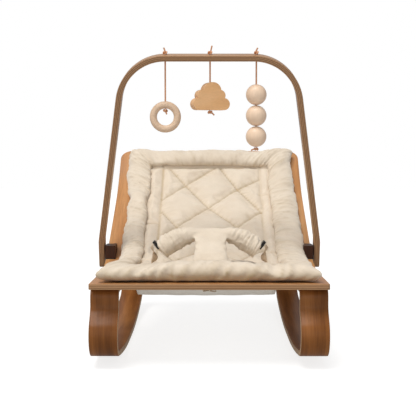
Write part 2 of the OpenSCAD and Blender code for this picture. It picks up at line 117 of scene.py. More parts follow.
# Texture scales are in repeats per metre
class Nodes:
    """A short way to write a node tree."""

    def __init__(self, name, group=bpy.data.materials, shader="Principled BSDF"):
        self.material = group.new(name)
        self.material.use_nodes = True
        self.tree = self.material.node_tree
        self.shader = self.tree.nodes[shader]

    def feed(self, socket, value):
        """Links another node's output to a socket, or sets a plain value on it."""
        if isinstance(value, bpy.types.NodeSocket):
            self.tree.links.new(value, socket)
        else:
            socket.default_value = value

    def add(self, kind, inputs=None, **settings):
        node = self.tree.nodes.new("ShaderNode" + kind)
        for key, value in settings.items():
            setattr(node, key, value)
        for key, value in (inputs or {}).items():
            self.feed(node.inputs[key], value)
        return node

    def set(self, **values):
        for key, value in values.items():
            self.shader.inputs[key.replace("_", " ")].default_value = value

    def scaled(self, source, scale):
        return self.add("Mapping", {"Vector": source, "Scale": scale}).outputs[0]

    def uv(self, name, scale):
        return self.scaled(self.add("UVMap", uv_map=name).outputs[0], scale)

    def object_space(self, scale):
        """The piece's own metres, times one number or one for each axis."""
        scales = scale if isinstance(scale, tuple) else (scale,) * 3
        return self.scaled(self.add("TexCoord").outputs["Object"], scales)

    def noise(self, vector, detail=4, roughness=0.6):
        inputs = {"Vector": vector, "Scale": 1, "Detail": detail, "Roughness": roughness}
        return self.add("TexNoise", inputs).outputs[0]

    def wave(self, vector, scale, distortion, direction):
        inputs = {"Vector": vector, "Scale": scale, "Distortion": distortion}
        return self.add("TexWave", inputs, bands_direction=direction).outputs["Fac"]

    def ramp(self, source, *stops):
        """Colours, or greys as one number, each at its place from 0 to 1."""
        node = self.add("ValToRGB", {0: source})
        elements = node.color_ramp.elements
        while len(elements) < len(stops):
            elements.new(0.5)
        for element, (place, colour) in zip(elements, stops):
            element.position = place
            element.color = (*colour, 1) if isinstance(colour, tuple) else (colour, colour, colour, 1)
        return node.outputs[0]

    def mix(self, factor, a, b, blend="MIX"):
        return self.add("Mix", {0: factor, 6: a, 7: b}, data_type="RGBA", blend_type=blend).outputs[2]

    def maths(self, operation, a, b):
        return self.add("Math", {0: a, 1: b}, operation=operation).outputs[0]

    def colour(self, source):
        self.feed(self.shader.inputs["Base Color"], source)

    def roughness(self, source, low, high):
        span = self.add("MapRange", {"Value": source, "To Min": low, "To Max": high})
        self.feed(self.shader.inputs["Roughness"], span.outputs[0])

    def bump(self, source, height, strength):
        """Relief, its height in millimetres."""
        relief = self.add("Bump", {"Height": source, "Distance": height * MM, "Strength": strength})
        self.feed(self.shader.inputs["Normal"], relief.outputs[0])


def by_grain(n, scale):
    return n.uv("grain", scale)


def along_z(n, scale):
    return n.object_space((scale[1], scale[1], scale[0]))


along_x = Nodes.object_space


def veneer(name, dark, middle, light, vector_of,
        gloss=0.12, specular=0.45, pore_depth=0.72, streak_depth=0.62):
    """Lacquered veneer: long figure, fine pores and a little variation in gloss."""
    n = Nodes(name)
    figure = n.noise(vector_of(n, (2.2, 26, 26)), 5, 0.55)
    streaks = n.noise(vector_of(n, (14, 420, 420)), 4, 0.7)
    pores = n.noise(vector_of(n, (90, 2400, 2400)), 2)
    base = n.ramp(figure, (0.30, dark), (0.5, middle), (0.72, light))
    streak = n.ramp(streaks, (0.32, streak_depth), (0.6, 1))
    pore = n.ramp(pores, (0.30, pore_depth), (0.42, 1))
    n.colour(n.mix(0.55, n.mix(0.7, base, streak, "MULTIPLY"), pore, "MULTIPLY"))
    n.roughness(streaks, 0.42, 0.3)
    n.set(Specular_IOR_Level=specular, Coat_Weight=gloss, Coat_Roughness=0.25)
    n.bump(n.maths("ADD", streaks, pores), 0.08, 0.5)
    return n.material


def plies(name, dark, light, thickness):
    """Cut plywood edge: light long grain and dark end grain in turn."""
    n = Nodes(name)
    pair = thickness * MM / PLY_COUNT * 2
    stripes = n.wave(n.uv("ply", (1 / pair, 1 / pair, 1)), 1 / pi, 0, "Y")
    fibres = n.noise(n.uv("ply", (60, 3000, 1)), 3, 0.7)
    ends = n.noise(n.uv("ply", (900, 900, 1)), 2)
    base = n.ramp(stripes, (0.22, dark), (0.38, light), (0.8, light))
    n.colour(n.mix(0.8, base, n.ramp(fibres, (0.3, 0.7), (0.62, 1)), "MULTIPLY"))
    n.roughness(ends, 0.5, 0.68)
    n.set(Specular_IOR_Level=0.35)
    n.bump(n.maths("ADD", stripes, ends), 0.12, 0.5)
    return n.material


# Painted shade: the colour multiplied into the cotton where it lies in creases, seams or under things
PAINTED_SHADE_TINT = (0.62, 0.54, 0.40, 1)


def cotton(name, tint, shadow):
    """Brushed cotton: a fine plain weave, soft blotches, a little fuzz, and painted shade in creases and
    shaded places.
    """
    n = Nodes(name)
    threads = [n.wave(n.uv("grain", (900, 900, 1)), 0.5, 1.5, axis) for axis in "XY"]
    weave = n.maths("MULTIPLY", *threads)
    blotch = n.noise(n.uv("grain", (18, 18, 1)))
    slub = n.noise(n.uv("grain", (260, 1500, 1)), 3, 0.7)
    base = n.ramp(blotch, (0.3, shadow), (0.7, tint))
    cloth = n.mix(0.35, base, n.ramp(slub, (0.3, 0.8), (0.6, 1)), "MULTIPLY")
    # Painted shade: each point's marked amount darkens the cloth towards the shade tint
    deep = n.add("Attribute", attribute_name="painted_shade").outputs["Fac"]
    n.colour(n.mix(deep, cloth, PAINTED_SHADE_TINT, "MULTIPLY"))
    n.set(Roughness=0.92, Specular_IOR_Level=0.2, Sheen_Weight=0.25, Sheen_Roughness=0.5)
    n.bump(n.maths("ADD", weave, slub), 0.25, 0.6)
    return n.material


def webbing(name, colour, dark):
    """Woven tape: a diagonal twill, rubbed in places."""
    n = Nodes(name)
    twill = n.wave(n.object_space(1300), 0.35, 1, "DIAGONAL")
    wear = n.noise(n.object_space(90))
    n.colour(n.mix(n.ramp(twill, (0.2, 0), (0.8, 1)), (*dark, 1), (*colour, 1)))
    n.roughness(wear, 0.7, 0.9)
    n.bump(twill, 0.3, 0.7)
    return n.material


def leather(name, colour, dark):
    """Undyed leather lace: fine grain, paler where it is rubbed."""
    n = Nodes(name)
    grain = n.noise(n.object_space(1400), 4, 0.65)
    rub = n.noise(n.object_space(160), 3)
    n.colour(n.mix(rub, (*dark, 1), (*colour, 1)))
    n.roughness(grain, 0.5, 0.75)
    n.bump(grain, 0.2, 0.6)
    return n.material


def moulded(name, colour, roughness):
    """Moulded plastic or rubber: a fine matt grain with smudges."""
    n = Nodes(name)
    grain = n.noise(n.object_space(2600), 3)
    smudge = n.noise(n.object_space(60), 3)
    n.colour(n.mix(smudge, (*colour, 1), (*[c * 1.5 + 0.004 for c in colour], 1)))
    n.roughness(smudge, roughness - 0.08, roughness + 0.12)
    n.set(Specular_IOR_Level=0.22)
    n.bump(grain, 0.12, 0.5)
    return n.material


def plated(name, colour):
    """Plated steel, brushed one way."""
    n = Nodes(name)
    brushed = n.noise(n.object_space((3000, 300, 3000)), 3)
    n.set(Metallic=1.0)
    n.colour(n.mix(brushed, (*colour, 1), (*[c * 0.75 for c in colour], 1)))
    n.roughness(brushed, 0.25, 0.42)
    n.bump(brushed, 0.05, 0.4)
    return n.material


RING_VENEER = veneer("ring_veneer", (0.38, 0.155, 0.047), (0.525, 0.245, 0.087), (0.61, 0.32, 0.13),
        by_grain, gloss=0.08, specular=0.32)
RING_EDGE = plies("ring_edge", (0.17, 0.07, 0.025), (0.42, 0.235, 0.11), RING_PLY)
RUNNER_VENEER = veneer("runner_veneer", (0.108, 0.034, 0.007), (0.245, 0.088, 0.021), (0.43, 0.18, 0.05),
        by_grain, gloss=0.02, specular=0.14)
RUNNER_EDGE = plies("runner_edge", (0.26, 0.13, 0.06), (0.55, 0.36, 0.20), RUNNER_PLY)
ARCH_VENEER = veneer("arch_veneer", (0.34, 0.17, 0.075), (0.46, 0.25, 0.12), (0.56, 0.33, 0.17), by_grain)
# The arch's veneers are as thick as the ring's
ARCH_EDGE = plies("arch_edge", (0.16, 0.075, 0.032), (0.40, 0.22, 0.105), RING_PLY)
DARK_WOOD = veneer("dark_wood", (0.030, 0.009, 0.003), (0.052, 0.017, 0.006), (0.085, 0.032, 0.013),
        along_z, gloss=0.03, specular=0.15)
SANDED = {"gloss": 0.03, "specular": 0.25, "pore_depth": 0.95}
PALE_WOOD = veneer("pale_wood", (0.65, 0.46, 0.315), (0.70, 0.505, 0.35), (0.735, 0.54, 0.385),
        along_x, streak_depth=0.9, **SANDED)
CLOUD_WOOD = veneer("cloud_wood", (0.70, 0.385, 0.17), (0.77, 0.44, 0.205), (0.81, 0.49, 0.25),
        along_x, streak_depth=0.88, **SANDED)
BEAD_WOOD = veneer("bead_wood", (0.78, 0.57, 0.41), (0.83, 0.62, 0.45), (0.86, 0.66, 0.49),
        along_z, streak_depth=0.9, **SANDED)
COTTON = cotton("cotton", (0.775, 0.67, 0.54), (0.70, 0.59, 0.46))
CANVAS = cotton("canvas", (0.90, 0.835, 0.735), (0.84, 0.77, 0.66))
TAPE = webbing("tape", (0.70, 0.56, 0.41), (0.48, 0.34, 0.21))
CORD_LEATHER = leather("cord_leather", (0.72, 0.37, 0.20), (0.52, 0.24, 0.11))
BLACK_PLASTIC = moulded("black_plastic", (0.012, 0.011, 0.010), 0.42)
PAD_RUBBER = moulded("pad_rubber", (0.010, 0.010, 0.010), 0.75)
PLATED = plated("plated", (0.62, 0.60, 0.57))


# ---------- lines and paths ----------

LONGEST_STEP, LARGEST_TURN = 6, 3


def run(length):
    return (length, 0.0)


def bend(radius, turn):
    return (radius * radians(abs(turn)), turn)


def trace(moves, start, angle):
    """Points close together along runs and bends, from a start and a heading."""
    points = [np.array(start, float)]
    for length, turn in moves:
        steps = max(1, ceil(length / LONGEST_STEP), ceil(abs(turn) / LARGEST_TURN))
        part = radians(turn) / steps
        chord = length / steps if turn == 0 else 2 * (length / steps) / abs(part) * sin(abs(part) / 2)
        for k in range(steps):
            along = radians(angle) + part * (k + 0.5)
            points.append(points[-1] + chord * np.array([cos(along), sin(along)]))
        angle += turn
    return np.array(points)


def direction(angle):
    return np.array([cos(radians(angle)), sin(radians(angle))])


def run_onto(start, angle, point, normal):
    """Length of the straight run from start onto the line through point."""
    return float(np.dot(point - start, normal) / np.dot(direction(angle), normal))


def distances(points):
    """How far along its line each point lies."""
    return np.concatenate([[0], np.cumsum(np.linalg.norm(np.diff(points, axis=0), axis=1))])


def smoothed(line, passes):
    for _ in range(passes):
        line[1:-1] = (line[:-2] + 2 * line[1:-1] + line[2:]) / 4
    return line


def eased_line(corners, count, passes):
    """Evenly spaced points along a polyline, its corners eased."""
    corners = np.array(corners, float)
    at = distances(corners)
    spread = np.linspace(0, at[-1], count)
    return smoothed(np.stack([np.interp(spread, at, column) for column in corners.T], axis=1), passes)


class Path:
    """A plane path that can be read at any distance along it, with an offset to its left."""

    def __init__(self, points):
        self.points = np.array(points, float)
        self.at = distances(self.points)
        self.length = self.at[-1]
        ahead = np.gradient(self.points, self.at, axis=0)
        ahead /= np.linalg.norm(ahead, axis=1)[:, None]
        self.left = np.stack([-ahead[:, 1], ahead[:, 0]], axis=1)

    def read(self, along, offset):
        along = np.asarray(along, float)
        place = [np.interp(along, self.at, self.points[:, k]) for k in (0, 1)]
        side = [np.interp(along, self.at, self.left[:, k]) for k in (0, 1)]
        # Past the ends the path goes on straight
        past = np.where(along > self.length, along - self.length, np.minimum(along, 0))
        ahead = (side[1], -side[0])
        return [place[k] + offset * side[k] + past * ahead[k] for k in (0, 1)]


def side_place(along, height, across):
    """Side plane to the frame: distance behind the front edge, height, and X, in millimetres."""
    return np.stack([across, along + FRONT, height], axis=-1) * MM


# ---------- seat ring, runners and arch as bent sheets ----------

CORNER_STEPS, SLICE, EDGE_ROUNDING, FACE_UP, SHARP = 8, 5, 1.3, 0.8, 35

ring_path = Path(trace(
    [run(SEAT_RUN), bend(SWEEP_RADIUS, SWEEP_TO + SEAT_DIP), bend(BACK_RADIUS, BACK_TO - SWEEP_TO),
     bend(HEAD_RADIUS, HEAD_SLOPE - BACK_TO), run(HEAD_RUN)],
    [0, FRONT_HEIGHT], -SEAT_DIP))
ring_start = ring_path.points[0]
head_start = ring_path.points[-1] - HEAD_RUN * direction(HEAD_SLOPE)


def below_ring(point, slope, depth, along=0):
    """A place under the ring's face, along its slope from a point."""
    return point + along * direction(slope) + depth * direction(slope - 90)


def runner_half(heading, lower, upright, top_bend, ring_point, ring_slope):
    """From the resting point through the lower bends, straight up, and under the ring."""
    start = [REST, RUNNER_PLY / 2]
    turn = trace([top_bend], [0, 0], upright)[-1]
    under = below_ring(ring_point, ring_slope, RING_PLY + RUNNER_PLY / 2)
    rise = run_onto(trace(lower, start, heading)[-1] + turn, upright, under, direction(ring_slope + 90))
    return trace(lower + [run(rise), top_bend, run(FLANGE)], start, heading)


def runner_points():
    """The runner from its front flange to its rear one."""
    radius = ROCKER_RADIUS - RUNNER_PLY / 2
    nose = [run(ROCKER_FLAT), bend(radius, -FRONT_ROLL), bend(NOSE_RADIUS, FRONT_ROLL - 90),
            bend(TUCK_RADIUS, -TUCK), run(TUCK_RUN), bend(UNTUCK_RADIUS, TUCK)]
    heel = [run(ROCKER_FLAT), bend(radius, REAR_ROLL), bend(HEEL_RADIUS, REAR_UPRIGHT - REAR_ROLL)]
    front = runner_half(180, nose, 90, bend(TOP_RADIUS, -90 - SEAT_DIP), ring_start, -SEAT_DIP)
    rear_top = bend(REAR_TOP_RADIUS, HEAD_SLOPE - REAR_UPRIGHT)
    rear = runner_half(0, heel, REAR_UPRIGHT, rear_top, head_start, HEAD_SLOPE)
    return np.concatenate([front[::-1], rear[1:]])


runner_path = Path(runner_points())


def rounded_loop(half, start, end, start_radius, end_radius):
    """A rounded rectangle, x across and y along, with the same number of points in any size."""
    loop = []
    for x, y, radius, angle in ((1, start, start_radius, -90), (1, end, end_radius, 0),
            (-1, end, end_radius, 90), (-1, start, start_radius, 180)):
        centre_y = y + radius if y == start else y - radius
        for k in range(CORNER_STEPS + 1):
            turn = radians(angle + 90 * k / CORNER_STEPS)
            loop.append((x * (half - radius) + radius * cos(turn), centre_y + radius * sin(turn)))
    return loop


def flat_sheet(loop, hole, low, high, shift):
    """A flat sheet cut to an outline, with a hole or without, its edges rounded."""
    bm = bmesh.new()
    outer = [bm.verts.new((x + shift, y, high)) for x, y in loop]
    inner = [bm.verts.new((x + shift, y, high)) for x, y in hole]
    if hole:
        onward = [(k + 1) % len(loop) for k in range(len(loop))]
        faces = [bm.faces.new((outer[k], outer[n], inner[n], inner[k])) for k, n in enumerate(onward)]
    else:
        faces = [bm.faces.new(outer)]
    grown = bmesh.ops.extrude_face_region(bm, geom=faces)["geom"]
    bottom = [part for part in grown if isinstance(part, bmesh.types.BMVert)]
    bmesh.ops.translate(bm, vec=(0, 0, low - high), verts=bottom)
    bmesh.ops.recalc_face_normals(bm, faces=bm.faces)
    rim = [e for e in bm.edges if len(e.link_faces) == 2 and e.calc_face_angle(0) > radians(60)]
    bmesh.ops.bevel(bm, geom=rim, offset=EDGE_ROUNDING, segments=3, profile=0.5, affect="EDGES")
    return bm


def map_sheet(bm, low):
    """UVs in metres: grain for the two faces, ply for the cut edge, which gets the second material."""
    grain = bm.loops.layers.uv.new("grain")
    ply = bm.loops.layers.uv.new("ply")
    bm.normal_update()
    for face in bm.faces:
        face.material_index = 0 if abs(face.normal.z) > FACE_UP else 1
        for corner in face.loops:
            x, y, z = corner.vert.co
            corner[grain].uv = (y * MM, x * MM)
            corner[ply].uv = ((x + y) * MM, (z - low) * MM)


def bent_sheet(name, loop, hole, low, high, path, place, materials, shift=0):
    bm = flat_sheet(loop, hole, low, high, shift)
    for y in np.arange(SLICE - 1, path.length - 2, SLICE):
        bmesh.ops.bisect_plane(bm, geom=bm.verts[:] + bm.edges[:] + bm.faces[:], dist=1e-4,
                plane_co=(0, y, 0), plane_no=(0, 1, 0))
    map_sheet(bm, low)
    flat = np.array([v.co for v in bm.verts])
    along, height = path.read(flat[:, 1], flat[:, 2])
    for vert, spot in zip(bm.verts, place(along, height, flat[:, 0])):
        vert.co = spot
    bmesh.ops.recalc_face_normals(bm, faces=bm.faces)
    obj = finish_mesh(name, bm, materials)
    shade(obj.data)
    return obj


def shade(mesh):
    """Smooth, but for the edges that turn more than SHARP degrees."""
    mesh.shade_smooth()
    mesh.set_sharp_from_angle(angle=radians(SHARP))


def finish_mesh(name, bm, materials):
    mesh = bpy.data.meshes.new(name)
    bm.to_mesh(mesh)
    bm.free()
    for material in materials:
        mesh.materials.append(material)
    return placed(name, mesh)


def stand_for(obj, body, slot, *nodes):
    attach(obj, body)
    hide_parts(*nodes)


def make_ring():
    half = RING_WIDTH / 2
    loop = rounded_loop(half, 0, ring_path.length, FRONT_CORNER, HEAD_CORNER)
    hole = rounded_loop(half - RAIL_WIDTH, BAR_DEPTH, ring_path.length - HEAD_BAR_DEPTH, HOLE_CORNER,
            HOLE_CORNER)
    obj = bent_sheet("seat_ring", loop, hole, -RING_PLY, 0, ring_path, side_place,
            [RING_VENEER, RING_EDGE])
    stand_for(obj, "seat", "ring_wood", "seat_frame")


def make_runners():
    loop = rounded_loop(RAIL_WIDTH / 2, 0, runner_path.length, RUNNER_CORNER, RUNNER_CORNER)
    for side, word in SIDES:
        middle = side * (RING_WIDTH - RAIL_WIDTH) / 2
        obj = bent_sheet("rocker_" + word, loop, [], -RUNNER_PLY / 2, RUNNER_PLY / 2, runner_path,
                side_place, [RUNNER_VENEER, RUNNER_EDGE], shift=middle)
        stand_for(obj, "seat", "runner_wood", "runner_" + word)


def arch_place(along, height, across):
    """The arch's own leaning plane to the frame."""
    lean = radians(ARCH_LEAN)
    y = PIVOT[0] - height * sin(lean) + across * cos(lean)
    z = PIVOT[1] + height * cos(lean) + across * sin(lean)
    return np.stack([along, y + FRONT, z], axis=-1) * MM


def make_arch():
    middle = ARCH_CORNER - ARCH_PLY / 2
    corner_rise = middle * (1 - sin(radians(LEG_SPLAY)))
    leg = (ARCH_HEIGHT - ARCH_PLY / 2 - corner_rise - KINK_RISE) / cos(radians(LEG_SPLAY))
    half = trace([run(FOOT_DROP + KINK_RISE), bend(KINK_RADIUS, LEG_SPLAY), run(leg - KINK_LENGTH),
            bend(middle, 90 - LEG_SPLAY)],
            [LEG_OUTER - ARCH_PLY / 2, -FOOT_DROP], 90)
    path = Path(np.concatenate([half, half[::-1] * [-1, 1]]))
    loop = rounded_loop(ARCH_DEPTH / 2, 0, path.length, ARCH_END_CORNER, ARCH_END_CORNER)
    obj = bent_sheet("toy_arch", loop, [], -ARCH_PLY / 2, ARCH_PLY / 2, path, arch_place,
            [ARCH_VENEER, ARCH_EDGE])
    stand_for(obj, "arch", "arch_wood", "arch")


# ---------- cords, knots and toys ----------

CORD, KNOT_CORD = 3.4, 3.2
KNOT_BELOW, KNOT_ABOVE = 3.6, 4.2
cord_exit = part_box("ring_cord")[1].z / MM
hang_y = (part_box("ring_cord")[0].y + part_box("ring_cord")[1].y) / 2 / MM
CORD_X = {"ring": -91.5, "cloud": 1.5, "bead": 97.5}
# Each route goes down from its exit
ROUTES = {
    "ring": [0, 6, 12, 18, 24, 30, 36, 42, 48, 54, 60, 66, 72, 78, 85, 92, 99.7],
    "cloud": [0, 6, 12, 18, 24, 30, 36, 42, 48, 56, 64, 72, 80, 86, 93, 100, 103.2],
    "bead": [0, 10, 20, 30, 40, 50, 60, 75, 90, 105, 116, 127, 138, 149, 160, 170, 179.5],
}
# Where each loose end points, from the middle of its knot
END_TAILS = {"ring": (3, -2, -8), "cloud": (8.5, 2.5, -6), "bead": (-10.5, -2.5, -3)}
TOP_TAILS = {"ring": (-3, -1.5, 10), "cloud": (4, -1.5, 14), "bead": (2.5, -1.5, 9.5)}


def curve_piece(name, points, diameter, material):
    """A round tube along points given in millimetres, as one open spline."""
    data = bpy.data.curves.new(name, "CURVE")
    data.dimensions = "3D"
    data.bevel_depth = diameter / 2 * MM
    data.bevel_resolution = 4
    data.use_fill_caps = True
    spline = data.splines.new("POLY")
    spline.points.add(len(points) - 1)
    for target, point in zip(spline.points, points):
        target.co = (*(Vector(point) * MM), 1)
    spline.use_smooth = True
    data.materials.append(material)
    return placed(name, data)


def make_cords():
    for word, drops in ROUTES.items():
        points = [(CORD_X[word], hang_y, cord_exit - drop) for drop in drops]
        obj = curve_piece(word + "_lace", points, CORD, CORD_LEATHER)
        stand_for(obj, word + "_string", "cord_leather", word + "_cord")


def knot_points(centre, tail, turned_by):
    """An overhand knot: most of a trefoil round the cord, then the loose end."""
    turned = Matrix.Rotation(turned_by, 3, "Z")
    points = []
    for k in range(37):
        t = radians(20 + 9.2 * k)
        across = sin(t) + 2 * sin(2 * t)
        away = cos(t) - 2 * cos(2 * t)
        lobe = Vector((across, away, -1.4 * sin(3 * t)))
        points.append(Vector(centre) + turned @ lobe * 1.3)
    last, end = points[-1], Vector(centre) + Vector(tail)
    for part in (0.3, 0.6, 0.85, 1):
        points.append(last.lerp(end, part) + Vector((0, 0, sin(part * pi) * 0.8)))
    return points


def make_knots():
    for seed, (word, tail) in enumerate(END_TAILS.items()):
        centre = (CORD_X[word], hang_y, cord_exit - ROUTES[word][-1] - KNOT_BELOW)
        obj = curve_piece(word + "_end_knot", knot_points(centre, tail, seed), KNOT_CORD, CORD_LEATHER)
        stand_for(obj, word + "_string", "cord_leather", word + "_knots")
    lean = radians(ARCH_LEAN)
    up = Vector((0, -sin(lean), cos(lean)))
    for seed, (word, tail) in enumerate(TOP_TAILS.items()):
        centre = Vector((CORD_X[word], hang_y, cord_exit)) + up * (ARCH_PLY + KNOT_ABOVE)
        points = knot_points(centre, tail, 2 * seed + 1)
        obj = curve_piece(word + "_top_knot", points, KNOT_CORD, CORD_LEATHER)
        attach(obj, "arch")
    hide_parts("cord_top_knots")


def edged(node, material, width=0, segments=3):
    """A CAD node with its own finish and softened edges."""
    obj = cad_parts[node]
    obj.data.materials.clear()
    obj.data.materials.append(material)
    shade(obj.data)
    if width:
        soft = obj.modifiers.new("soft_edges", "BEVEL")
        soft.width = width * MM
        soft.segments = segments
        soft.limit_method = "ANGLE"
        soft.angle_limit = radians(40)
        soft.harden_normals = True


def finish_nodes():
    edged("ring_toy", PALE_WOOD)
    edged("cloud_toy", CLOUD_WOOD, 2.2, 4)
    for node in ("bead_top", "bead_middle", "bead_bottom"):
        edged(node, BEAD_WOOD)
    for _, side in SIDES:
        edged("clamp_block_" + side, DARK_WOOD, 2)
        edged("clamp_pad_" + side, PAD_RUBBER)
        edged("clamp_screw_" + side, DARK_WOOD, 0.8)
        edged("buckle_socket_" + side, BLACK_PLASTIC, 0.7)
        edged("buckle_tongue_" + side, BLACK_PLASTIC, 0.7)
    for node in ("front_bolts", "front_nuts", "rear_bolts", "rear_nuts", "arch_pivots", "pivot_nuts"):
        edged(node, PLATED, 0.3)
    edged("arch_washers", PAD_RUBBER, 0.2)


# ---------- tools for cloth ----------

def grid_object(name, rows, closed, material, uv):
    """A mesh from rows of places in metres, with UVs in millimetres; closed joins each row's ends."""
    count = len(rows[0])
    last = count if closed else count - 1
    faces = []
    for start in range(0, (len(rows) - 1) * count, count):
        for k in range(last):
            n = (k + 1) % count
            faces.append((start + k, start + n, start + count + n, start + count + k))
    mesh = bpy.data.meshes.new(name)
    mesh.from_pydata(np.concatenate(rows).tolist(), [], faces)
    map_grain(mesh, np.concatenate(uv) * MM)
    mesh.materials.append(material)
    return placed(name, mesh)


def map_grain(mesh, uv):
    """Each vertex's place on the cloth, in metres, as the grain's UVs; faces are made smooth."""
    layer = mesh.uv_layers.new(name="grain")
    loops = np.array([loop.vertex_index for loop in mesh.loops])
    layer.data.foreach_set("uv", uv[loops].ravel())
    mesh.shade_smooth()


def per_vertex(obj, what):
    flat = np.empty(len(obj.data.vertices) * 3)
    obj.data.vertices.foreach_get(what, flat)
    return flat.reshape(-1, 3)


def set_places(obj, places):
    obj.data.vertices.foreach_set("co", np.asarray(places, np.float32).ravel())
    obj.data.update()


def press(obj, depth):
    """Moves each vertex along its normal, by a depth in millimetres."""
    set_places(obj, per_vertex(obj, "co") + per_vertex(obj, "normal") * depth[:, None] * MM)


def noise_over(seed, *measures):
    """Smooth seeded noise from -1 to 1 over one, two or three measures of each point."""
    places = np.zeros((len(measures[0]), 3))
    places[:, :len(measures)] = np.stack(measures, axis=1)
    return np.array([noise.noise(Vector(place) + Vector((seed, 0, 0))) for place in places])


def billow(seed, u, v):
    """Rounded folds with sharp valleys, from 0 in a valley to about 1."""
    return np.minimum(np.abs(noise_over(seed, u, v)) / 0.4, 1.3) ** 0.65


def creases(around, across, whole, spacing, length, width, depth, slant, seed):
    """Depth of short random creases that start on a seam, at across = 0, and fade out."""
    draw = random.Random(seed).uniform
    total = np.zeros(len(around))
    place = 0.0
    while place < whole:
        long, wide, deep, lean = draw(*length), draw(*width), draw(*depth), draw(-slant, slant)
        off = (around - place - lean * across + whole / 2) % whole - whole / 2
        total += deep * np.clip(1 - across / long, 0, 1) ** 0.7 * np.exp(-(off / wide) ** 2)
        place += draw(*spacing)
    return total


def mark_painted_shade(obj, amount):
    """How much painted shade each point gets, from 0 to 1, in creases and shaded places, for the cotton's
    colour.
    """
    layer = obj.data.attributes.new("painted_shade", "FLOAT", "POINT")
    layer.data.foreach_set("value", np.clip(amount, 0, 1).astype(np.float32))


def within(part):
    return np.clip(part, 0, 1)


def eased(part):
    part = within(part)
    return part * part * (3 - 2 * part)


def bump_at(gap, reach):
    """1 where the gap is 0, fading out like a bell beyond the reach."""
    return np.exp(-(gap / reach) ** 2)


def inflate(obj, pinned, pressure, slack, frames, cap, loose=1.0):
    """A short cloth simulation with the pinned points held and the rest cut too large by the slack.

    No point moves farther than the cap, and loose is how much of the result each point keeps.
    """
    rest = per_vertex(obj, "co")
    group = obj.vertex_groups.new(name="sewn")
    group.add([int(i) for i in np.flatnonzero(pinned)], 1.0, "REPLACE")
    cloth = obj.modifiers.new("cloth", "CLOTH")
    settings = cloth.settings
    settings.quality = 4
    settings.mass = 0.25
    settings.tension_stiffness = settings.compression_stiffness = 12
    settings.shear_stiffness = 4
    settings.bending_stiffness = 0.15
    settings.use_pressure = True
    settings.uniform_pressure_force = pressure
    settings.shrink_min = settings.shrink_max = -slack
    settings.vertex_group_mass = "sewn"
    settings.effector_weights.gravity = 0
    cloth.collision_settings.use_collision = False
    scene = bpy.context.scene
    for number in range(1, frames + 1):
        scene.frame_set(number)
    settled = obj.evaluated_get(bpy.context.evaluated_depsgraph_get())
    moved = np.array([v.co for v in settled.data.vertices]) - rest
    obj.modifiers.remove(cloth)
    scene.frame_set(1)
    size = np.linalg.norm(moved, axis=1)
    moved *= (loose * np.minimum(size, cap * MM) / np.maximum(size, 1e-9))[:, None]
    set_places(obj, rest + moved)


def thickened(obj, name, thickness, offset=0):
    sheet = obj.modifiers.new(name, "SOLIDIFY")
    sheet.thickness = thickness * MM
    sheet.offset = offset


def subdivided(obj):
    smooth = obj.modifiers.new("smooth", "SUBSURF")
    smooth.levels = smooth.render_levels = 1


# ---------- cushion roll ----------

cushion_end = ring_path.length - CUSHION_HEAD_GAP
quilt_from, quilt_to = CUSHION_FRONT + BORDER_WIDTH, cushion_end - BORDER_WIDTH
SIDE_STEPS, END_STEPS = 152, 86

# The front corners stand out, the sides are drawn in and the head's corners lie to the right
EAR, EAR_REACH, EAR_DEPTH = 9, 22, 70
WAIST_LEFT, WAIST_RIGHT, WAIST_FROM, WAIST_TO = 11.5, 2.5, 70, 660
HEAD_SHIFT_LEFT, HEAD_SHIFT_RIGHT, HEAD_DEPTH = 4.0, 7.5, 45


def inset_loop(inset):
    """Points round the cushion's outline, inset from its edge; corners stay on the mitres."""
    half = HALF_CUSHION - inset
    low, high = CUSHION_FRONT + inset, cushion_end - inset
    corners = [(half, low), (half, high), (-half, high), (-half, low)]
    points = []
    for k, steps in enumerate((SIDE_STEPS, END_STEPS, SIDE_STEPS, END_STEPS)):
        start, end = np.array(corners[k]), np.array(corners[(k + 1) % 4])
        points += [start + (end - start) * part for part in np.arange(steps) / steps]
    return np.array(points)


def border_section():
    """The roll's section from its inner seam to the underside: inset from the edge, and height."""
    half, middle = BORDER_WIDTH / 2, BORDER_HEIGHT / 2
    section = []
    for turn in np.radians(np.linspace(-14, 250, 24)):
        across = half * (1.04 if cos(turn) < 0 else 1.0) * cos(turn)
        section.append((half + across, middle + (middle - 1.5) * sin(turn)))
    return np.array(section + [(half, 0.8), (BORDER_WIDTH - 1, 0.8), (BORDER_WIDTH, SEAM_HEIGHT * 0.6)])


def at_head(y):
    """1 at the cushion's head end, easing to 0 below it."""
    return eased(1 - (cushion_end - y) / HEAD_DEPTH)


def border_x(loop, inset):
    """X of one ring of the roll in its real, uneven plan."""
    flat_x, y = loop.T
    outwards = 1 - inset / BORDER_WIDTH
    at_front = within(1 - (y - CUSHION_FRONT) / EAR_DEPTH)
    ear = EAR * np.exp(-((HALF_CUSHION - abs(flat_x)) / EAR_REACH)) * at_front ** 2
    x = flat_x + np.sign(flat_x) * ear * exp(-inset / EAR_REACH)
    waist = eased((y - WAIST_FROM) / 130) * eased((WAIST_TO - y) / 120) * outwards
    x += np.where(x < 0, WAIST_LEFT, WAIST_RIGHT) * waist
    at_corner = eased((abs(flat_x) - 140) / 50)
    return x + at_head(y) * outwards * np.where(x < 0, HEAD_SHIFT_LEFT, HEAD_SHIFT_RIGHT) * at_corner


